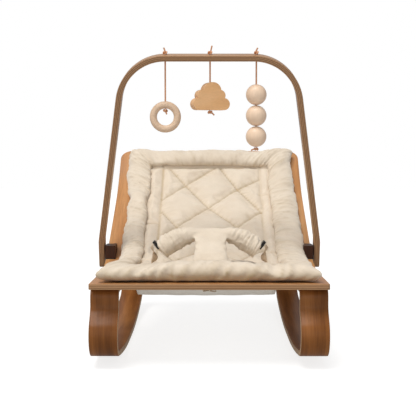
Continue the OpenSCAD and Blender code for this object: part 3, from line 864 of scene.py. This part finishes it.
def border_mesh():
    """The roll before it is stuffed, and how loose each of its points is."""
    section = border_section()
    tips = np.array([(side * HALF_CUSHION, end) for side in (-1, 1) for end in (CUSHION_FRONT, cushion_end)])
    rows, uvs, loose = [], [], []
    for (inset, height), around in zip(section, distances(section)):
        loop = inset_loop(inset)
        gap = np.linalg.norm(loop[:, None] - tips[None], axis=2).min(axis=1)
        # Thinner at the corners' tips and in the middle of the head
        thin = 1 - 0.14 * bump_at(gap, 15)
        thin = thin * (1 - 0.10 * at_head(loop[:, 1]) * eased((165 - abs(loop[:, 0])) / 60))
        along, up = ring_path.read(loop[:, 1], height * thin)
        rows.append(side_place(along, up, border_x(loop, inset)))
        uvs.append(np.stack([np.arange(len(loop)) * 4.1, np.full(len(loop), around)], axis=1))
        loose.append(1 - bump_at(gap, 70))
    return grid_object("cushion_roll", rows, True, COTTON, uvs), np.concatenate(loose)


def make_border():
    """The stuffed roll, from its seam on the quilt over the top to the ring's face."""
    obj, loose = border_mesh()
    outline, spans = inset_loop(0), distances(border_section())
    count, last = len(outline), len(spans) - 4
    row = np.repeat(np.arange(len(spans)), count)
    column = np.tile(np.arange(count), len(spans))
    inflate(obj, (row == 0) | (row >= last - 2), pressure=2.2, slack=0.05, frames=20, cap=5, loose=loose)
    # Distance round the cushion, and distances from the inner and the outer seam
    round_it = distances(np.concatenate([outline, outline[:1]]))
    u, whole = round_it[column], float(round_it[-1])
    inner = spans[row]
    outer = np.abs(spans[last] - inner)
    on_front = column >= 2 * SIDE_STEPS + END_STEPS
    on_head = (column >= SIDE_STEPS + 16) & (column < SIDE_STEPS + END_STEPS)
    # Folds run across the roll, wider on the front, with finer ones and a slow swell over them
    lean = np.where(on_front, 0.75, 0.25)
    fold = billow(3.1, (u + lean * inner) / np.where(on_front, 22, 14), inner / np.where(on_front, 260, 90))
    fine = billow(7.7, (u - 0.3 * inner) / 9, inner / 45)
    swell = noise_over(6.3, u / 46, inner / 50)
    strength = 0.65 + 0.9 * noise_over(2.2, u / 80)
    near = creases(u, inner, whole, spacing=(8, 20), length=(16, 60), width=(1.5, 3.2), depth=(1.2, 4.2),
            slant=0.6, seed=4)
    far = creases(u, outer, whole, spacing=(12, 30), length=(14, 52), width=(1.8, 4.0), depth=(1.0, 3.6),
            slant=0.7, seed=5)
    calm = np.where(on_head, 0.45, 1.0)
    depth = np.where(on_front, 6.8, 4.0) * strength * (fold - 0.9) + 1.6 * (fine - 0.8) - near - far
    depth = calm * depth + np.where(on_front, 2.0, 3.2) * swell
    # The seams stay closed and the front's lower edge stays straight
    held = np.clip(outer / np.where(on_front, 17, 6), 0.2, 1)
    press(obj, depth * (row <= last) * within(inner / 7) * held)
    # Painted shade: darker in the fold valleys and creases, along the inner seam, and on the front roll's
    # underside
    valley = within(0.55 - fold) * strength
    fold_shade = calm * (0.17 * (near + far) + np.where(on_front, 1.1, 0.95) * valley)
    underside = np.where(on_front, eased(1 - (outer - 6) / 34), 0)
    mark_painted_shade(obj, fold_shade + 0.08 * bump_at(inner, 3) + underside)
    subdivided(obj)
    stand_for(obj, "seat", "cotton", "cushion_border")


# ---------- quilted panel ----------

# Rows of stitches and short seams across the side channels, as (x, distance along the seat)
QUILTING = (
    ((-105, 680), (-58, 602), (-3, 500), (63, 415), (124, 330)),
    ((25, 675), (67, 585), (124, 478)),
    ((-115, 490), (-75, 416), (-3, 330), (60, 250), (124, 180)),
    ((-115, 330), (-75, 250), (-20, 170), (10, 110)),
    ((-115, 535), (-58, 602), (15, 672)),
    ((-115, 370), (-75, 416), (-3, 500), (67, 585), (145, 642)),
    ((-115, 190), (-75, 250), (-3, 330), (63, 415), (124, 487)),
    ((-60, 100), (-20, 170), (60, 250), (124, 320)),
    ((40, 100), (124, 180)),
)
CHANNEL_SEAMS = ((-130, 430), (-131, 250), (134, 560), (135, 300))
LEFT_CHANNEL, RIGHT_CHANNEL, HEAD_CHANNEL = -115, 124, 671
UNDER_ROLL, QUILT_ACROSS, QUILT_ALONG = 5, 82, 166
PUFF, PUFF_REACH, STITCH_DEPTH, STITCH_REACH = 9.5, 12, 2.6, 2.6
NO_SEAM, CREASED_LENGTH = 99, 1000


def stitch_line(corners):
    """A row of stitches through its corners, slightly eased."""
    corners = np.array(corners, float)
    parts = np.linspace(0, len(corners) - 1, 12 * (len(corners) - 1) + 1)
    line = np.stack([np.interp(parts, np.arange(len(corners)), column) for column in corners.T], axis=1)
    return smoothed(line, 5)


def distance_to_line(points, line):
    """Each point's distance from the line, and how far along the line its nearest place is."""
    best = np.full(len(points), 1e9)
    where = np.zeros(len(points))
    for start, end, so_far in zip(line, line[1:], distances(line)):
        ahead = end - start
        part = within(((points - start) @ ahead) / (ahead @ ahead))
        gap = np.linalg.norm(points - start - part[:, None] * ahead, axis=1)
        nearer = gap < best
        best[nearer] = gap[nearer]
        where[nearer] = (so_far + part * np.linalg.norm(ahead))[nearer]
    return best, where


def quilt_seams(flat):
    """Each point's distance from its nearest seam, and the depth of the puckers beside it."""
    x, y = flat.T
    sway = 2.2 * noise_over(21.0, x / 90, y / 60)
    seam = np.abs([x - LEFT_CHANNEL + sway, x - RIGHT_CHANNEL + sway, y - HEAD_CHANNEL + sway]).min(axis=0)
    pucker = np.zeros(len(flat))
    for seed, corners in enumerate(QUILTING):
        gap, where = distance_to_line(flat, stitch_line(corners))
        gap = np.where(inside_channels(x, y), gap, NO_SEAM)
        seam = np.minimum(seam, gap)
        pucker += creases(where, gap, CREASED_LENGTH, spacing=(7, 17), length=(9, 28), width=(1.4, 2.8),
                depth=(0.5, 1.8), slant=0.5, seed=seed + 20)
    for x_seam, y_seam in CHANNEL_SEAMS:
        seam = np.minimum(seam, np.where(abs(x - x_seam) < 17, abs(y - y_seam), NO_SEAM))
    return seam, pucker


def inside_channels(x, y):
    return (x > LEFT_CHANNEL) & (x < RIGHT_CHANNEL) & (y < HEAD_CHANNEL)


def make_quilt():
    """The thin quilted panel: puffs between sewn lines, with flat channels beside the roll."""
    half = HALF_QUILT + UNDER_ROLL
    xs = np.linspace(-half, half, QUILT_ACROSS)
    ys = np.linspace(quilt_from - UNDER_ROLL, quilt_to + UNDER_ROLL, QUILT_ALONG)
    flat = np.array([(x, y) for y in ys for x in xs])
    x, y = flat.T
    seam, pucker = quilt_seams(flat)
    edge = np.minimum(HALF_QUILT - abs(x), np.minimum(y - quilt_from, quilt_to - y))
    from_edge = np.maximum(edge, 0)
    # The panel stays a little raised where it meets the roll
    puff = PUFF * (1 - np.exp(-np.minimum(seam, from_edge + 3.5) / PUFF_REACH))
    height = SEAM_HEIGHT + 0.5 + (puff - STITCH_DEPTH * bump_at(seam, STITCH_REACH))
    along, up = ring_path.read(y, height)
    rows = np.split(side_place(along, up, x), QUILT_ALONG)
    obj = grid_object("quilted_panel", rows, False, COTTON, [flat])
    inflate(obj, (seam < 2.4) | (edge < 2), pressure=1.0, slack=0.03, frames=14, cap=3)
    crinkle = noise_over(5.0, x / 40, y / 11)
    soft = noise_over(12.0, x / 26, y / 26)
    side_creases = creases(y, np.maximum(HALF_QUILT - abs(x), 0), CREASED_LENGTH, spacing=(9, 22),
            length=(12, 30), width=(1.6, 3.2), depth=(0.4, 1.4), slant=0.8, seed=40)
    press(obj, (0.75 * crinkle + soft) * within(np.minimum(seam, from_edge) / 8) - pucker - side_creases)
    # Painted shade: darker along the seams' grooves, in the puckers and on the panel under the harness arms
    stitches = np.where(inside_channels(x, y), 0.8, 0.5) * bump_at(seam, 1.9)
    under_arm_shade = eased((150 - y) / 50) * eased((108 - abs(x)) / 22)
    mark_painted_shade(obj, stitches + 0.25 * pucker + 0.75 * under_arm_shade)
    thickened(obj, "lining", 5, offset=-1)
    subdivided(obj)
    stand_for(obj, "seat", "cotton", "cushion_quilt")


# ---------- canvas sling ----------

SLING_GAP, SLING_ROWS, SLING_COLUMNS = 2, 90, 40
# Where the canvas hangs between the two bars, in the side plane
SLING_SAG = ((120, 122), (180, 113), (240, 114), (300, 128), (360, 158), (430, 196), (500, 236), (560, 276))


def make_sling():
    """Canvas under the cushion, sewn round the two bars, sagging between them."""
    depth = RING_PLY + SLING_GAP
    front = [below_ring(ring_start, -SEAT_DIP, depth, along) for along in (12, 55)]
    head = [below_ring(head_start, HEAD_SLOPE, depth, along) for along in (20, 66)]
    low = np.array([*front, *SLING_SAG, *head])
    path = eased_line(low, SLING_ROWS, 3)
    cut = np.linspace(0, distances(low)[-1], SLING_ROWS)
    left, right = (corner.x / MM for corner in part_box("canvas_sling"))
    half = (right - left) / 2
    xs = np.linspace(-half, half, SLING_COLUMNS)
    rows, uvs = [], []
    for k, (along, up) in enumerate(path):
        slack = sin(pi * k / (SLING_ROWS - 1))
        sag = 3.0 * slack * (1 - (xs / half) ** 2)
        ripple = 0.6 * np.sin(xs / 9 + 0.3 * k) * slack
        height = up + SLING_GAP - sag + ripple
        rows.append(side_place(np.full(len(xs), along), height, xs + (left + right) / 2))
        uvs.append(np.stack([np.full(len(xs), cut[k]), xs], axis=1))
    obj = grid_object("canvas", rows, False, CANVAS, uvs)
    thickened(obj, "cloth_thickness", 1.4)
    stand_for(obj, "seat", "canvas", "canvas_sling")


def make_tie():
    """A small flat bow of tape."""
    low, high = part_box("sling_tie")
    centre = (low + high) / 2 / MM
    across = (-3.5, 0, 3.5)
    for side, word in SIDES:
        rows, uvs = [], []
        for k in range(25):
            t = 2 * pi * k / 24
            x = centre.x + side * (6.6 - 6 * cos(t))
            z = centre.z + sin(t) * (1 - cos(t)) - 0.05 * abs(x)
            rows.append(np.array([(x, centre.y + w, z) for w in across]) * MM)
            uvs.append([(k * 3.0, w) for w in across])
        obj = grid_object("bow_" + word, rows, False, TAPE, uvs)
        thickened(obj, "tape_thickness", 0.9, offset=-1)
        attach(obj, "seat")
        if side < 0:
            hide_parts("sling_tie")


# ---------- harness ----------

# The strap's middle line in the side plane, and an arm's as (x, distance behind the front edge, height)
STRAP_PATH = [(70, 180.8), (88, 201), (106, 214), (128, 227), (148, 240), (160, 249)]
STRAP_HALF, STRAP_THICK, STRAP_RINGS, STRAP_SIDES = 35.5, 6.2, 24, 40
ARM_SPOTS = [(0, 150, 242), (27, 152, 241), (54, 156, 235), (80, 151, 222.5), (97, 148, 208)]
ARM_RADII, ARM_SQUASH, ARM_RINGS, ARM_SIDES = (6.5, 9, 19, 21.5, 22, 17), 0.95, 30, 28
HARNESS_SHIFT = 3


def arm_rings(side):
    """Rings round one arm, from the strap to its buckle."""
    spots = [(side * x, y + FRONT, z) for x, y, z in ARM_SPOTS]
    path = eased_line(spots, ARM_RINGS, 6)
    rings = []
    for k, (spot, along) in enumerate(zip(path, np.gradient(path, axis=0))):
        along = Vector(along).normalized()
        wide = along.cross(Vector((0, 1, 0))).normalized()
        thick = along.cross(wide)
        radius = np.interp(k / (ARM_RINGS - 1), np.linspace(0, 1, len(ARM_RADII)), ARM_RADII)
        rings.append([Vector(spot) + wide * cos(a) * radius + thick * sin(a) * radius * ARM_SQUASH
                for a in np.linspace(0, 2 * pi, ARM_SIDES, endpoint=False)])
    return rings


def strap_rings():
    """Rings round the crotch strap, which narrows and then widens into the arms."""
    path = Path(STRAP_PATH)
    rings = []
    for along in np.linspace(0, path.length, STRAP_RINGS):
        part = along / path.length
        half = STRAP_HALF - 4 * sin(pi / 2 * min(1, part / 0.6)) + 13 * max(0, part - 0.62)
        ring = []
        for t in np.linspace(0, 2 * pi, STRAP_SIDES, endpoint=False):
            x = half * np.sign(cos(t)) * abs(cos(t)) ** 0.6
            up = STRAP_THICK * np.sign(sin(t)) * abs(sin(t)) ** 0.8
            back, height = path.read(along, up)
            ring.append(Vector((x, float(back) + FRONT, float(height))))
        rings.append(ring)
    return rings


def add_tube(bm, rows):
    rings = [[bm.verts.new(place * MM) for place in row] for row in rows]
    count = len(rings[0])
    for a, b in zip(rings, rings[1:]):
        for k in range(count):
            bm.faces.new((a[k], a[(k + 1) % count], b[(k + 1) % count], b[k]))
    bm.faces.new(rings[0])
    bm.faces.new(rings[-1])


def harness_mesh():
    """The strap and both arms as one closed skin."""
    bm = bmesh.new()
    for rings in (arm_rings(-1), arm_rings(1), strap_rings()):
        add_tube(bm, rings)
    bmesh.ops.recalc_face_normals(bm, faces=bm.faces)
    obj = finish_mesh("harness", bm, [COTTON])
    remesh = obj.modifiers.new("one_piece", "REMESH")
    remesh.mode = "VOXEL"
    remesh.voxel_size = 2.2 * MM
    obj.modifiers.new("blend", "SMOOTH").iterations = 14
    joined = bpy.data.meshes.new_from_object(obj.evaluated_get(bpy.context.evaluated_depsgraph_get()))
    obj.modifiers.clear()
    obj.data = joined
    joined.name = "harness"
    return obj


def make_harness():
    """The T-shaped harness: one padded piece, gathered along its drooping arms."""
    obj = harness_mesh()
    free = np.zeros(len(obj.data.vertices), bool)
    inflate(obj, free, pressure=0.6, slack=0.02, frames=8, cap=2)
    x, y, z = per_vertex(obj, "co").T / MM
    arm = within((abs(x) - 32) / 14)
    # Distance along the drooping arm, so that the gathers go round it
    down = 0.86 * abs(x) - 0.5 * z
    gathers = noise_over(2.0, down / 4.6, y / 34, z / 30)
    fold = billow(4.4, down / 8, y / 60 + z / 50)
    soft = noise_over(8.0, x / 20, y / 20, z / 20)
    # Creases fan out where the arms leave the strap
    pit = bump_at(abs(x) - 36, 9) * within((236 - z) / 14) * within((z - 208) / 12)
    fans = noise_over(5.5, x / 22, y / 9, z / 5)
    press(obj, arm * (1.6 * gathers + 2.4 * (fold - 0.9)) + 1.6 * soft + pit * (5.5 * fans - 1.2))
    places = per_vertex(obj, "co")
    places[:, 0] += HARNESS_SHIFT * MM * within(1 - (x / 100) ** 2)
    set_places(obj, places)
    # Painted shade in the valleys of the arms' gathers and in the creases where the arms leave the strap
    mark_painted_shade(obj, arm * 0.45 * within(0.55 - fold) + 0.6 * pit * within(-3 * fans))
    map_grain(obj.data, np.stack([places[:, 0], places[:, 2] + places[:, 1]], axis=1))
    stand_for(obj, "seat", "cotton", "crotch_strap", "waist_arm_left", "waist_arm_right")


# A tape's middle line, as (x, height)
TAPE_PATH = [(113.4, 218.7), (115.5, 212), (112, 205), (109, 198), (110.5, 191), (114, 186), (116, 181.5)]
TAPE_HALF, TAPE_PINCH, TAPE_TWIST = 9.5, 3.5, 1.05


def make_side_webbing():
    """A twisted band of tape from each buckle down into the seam beside the quilt."""
    low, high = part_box("side_webbing_left")
    middle = (low.y + high.y) / 2 / MM
    path = Path(TAPE_PATH)
    for side, word in SIDES:
        rows, uvs = [], []
        for along in np.linspace(0, path.length, 40):
            x, z = path.read(along, 0)
            inner = sin(pi * along / path.length)
            twist = TAPE_TWIST * inner * cos(along / 9)
            half = TAPE_HALF - TAPE_PINCH * inner
            w = np.linspace(-half, half, 6)
            aside = w * sin(twist)
            row = (side * (x + aside), middle + w * cos(twist), z + 0.3 * aside)
            rows.append(np.stack(row, axis=1) * MM)
            uvs.append([(along, v) for v in np.linspace(-11, 11, 6)])
        obj = grid_object("side_tape_" + word, rows, False, TAPE, uvs)
        thickened(obj, "tape_thickness", 1.4)
        stand_for(obj, "seat", "tape", "side_webbing_" + word)


# ---------- floor and light ----------

FLOOR_GLOW, GLOW_TO_CAMERA, AMBIENT = 0.3, 0.5, 0.41
# Name, where it shines from, power, softness and tint
LIGHTS = (
    ("key", (-0.40, -0.50, 1.6), 2.35, 30, (1, 0.985, 0.96)),
    ("fill", (-0.3, -1.2, 0.25), 0.85, 60, (1, 1, 1)),
)


def make_floor():
    bpy.ops.mesh.primitive_plane_add(size=12, location=(0, 0, -0.5 * MM))
    floor = bpy.context.object
    floor.name = "floor"
    n = Nodes("floor_paper")
    n.colour(n.mix(n.noise(n.object_space(3)), (0.26, 0.26, 0.26, 1), (0.28, 0.28, 0.28, 1)))
    n.set(Roughness=0.9, Emission_Color=(1, 0.996, 0.99, 1))
    # White to the eye, but it lights the undersides less
    seen = n.add("LightPath").outputs["Is Camera Ray"]
    glow = n.maths("ADD", n.maths("MULTIPLY", seen, GLOW_TO_CAMERA), FLOOR_GLOW)
    n.feed(n.shader.inputs["Emission Strength"], glow)
    floor.data.materials.append(n.material)


def make_world():
    """White behind the object, and a dimmer, cooler light from all round it."""
    n = Nodes("studio", bpy.data.worlds, "Background")
    n.set(Color=(1, 1, 1, 1))
    ambient = n.add("Background", {"Color": (0.97, 1.0, 1.05, 1), "Strength": AMBIENT})
    seen = n.add("LightPath").outputs["Is Camera Ray"]
    choose = n.add("MixShader", {0: seen, 1: ambient.outputs[0], 2: n.shader.outputs[0]})
    n.feed(n.tree.nodes["World Output"].inputs[0], choose.outputs[0])
    bpy.context.scene.world = n.material


def make_lights():
    for name, place, power, softness, tint in LIGHTS:
        light = bpy.data.lights.new(name, "SUN")
        light.energy = power
        light.angle = radians(softness)
        light.color = tint
        obj = placed(name, light)
        obj.location = place
        obj.rotation_euler = Vector(place).to_track_quat("Z", "Y").to_euler()
    bpy.context.scene.view_settings.view_transform = "Standard"


make_cords()
make_knots()
make_ring()
make_runners()
make_arch()
finish_nodes()
make_border()
make_quilt()
make_sling()
make_tie()
make_harness()
make_side_webbing()
make_floor()
make_world()
make_lights()
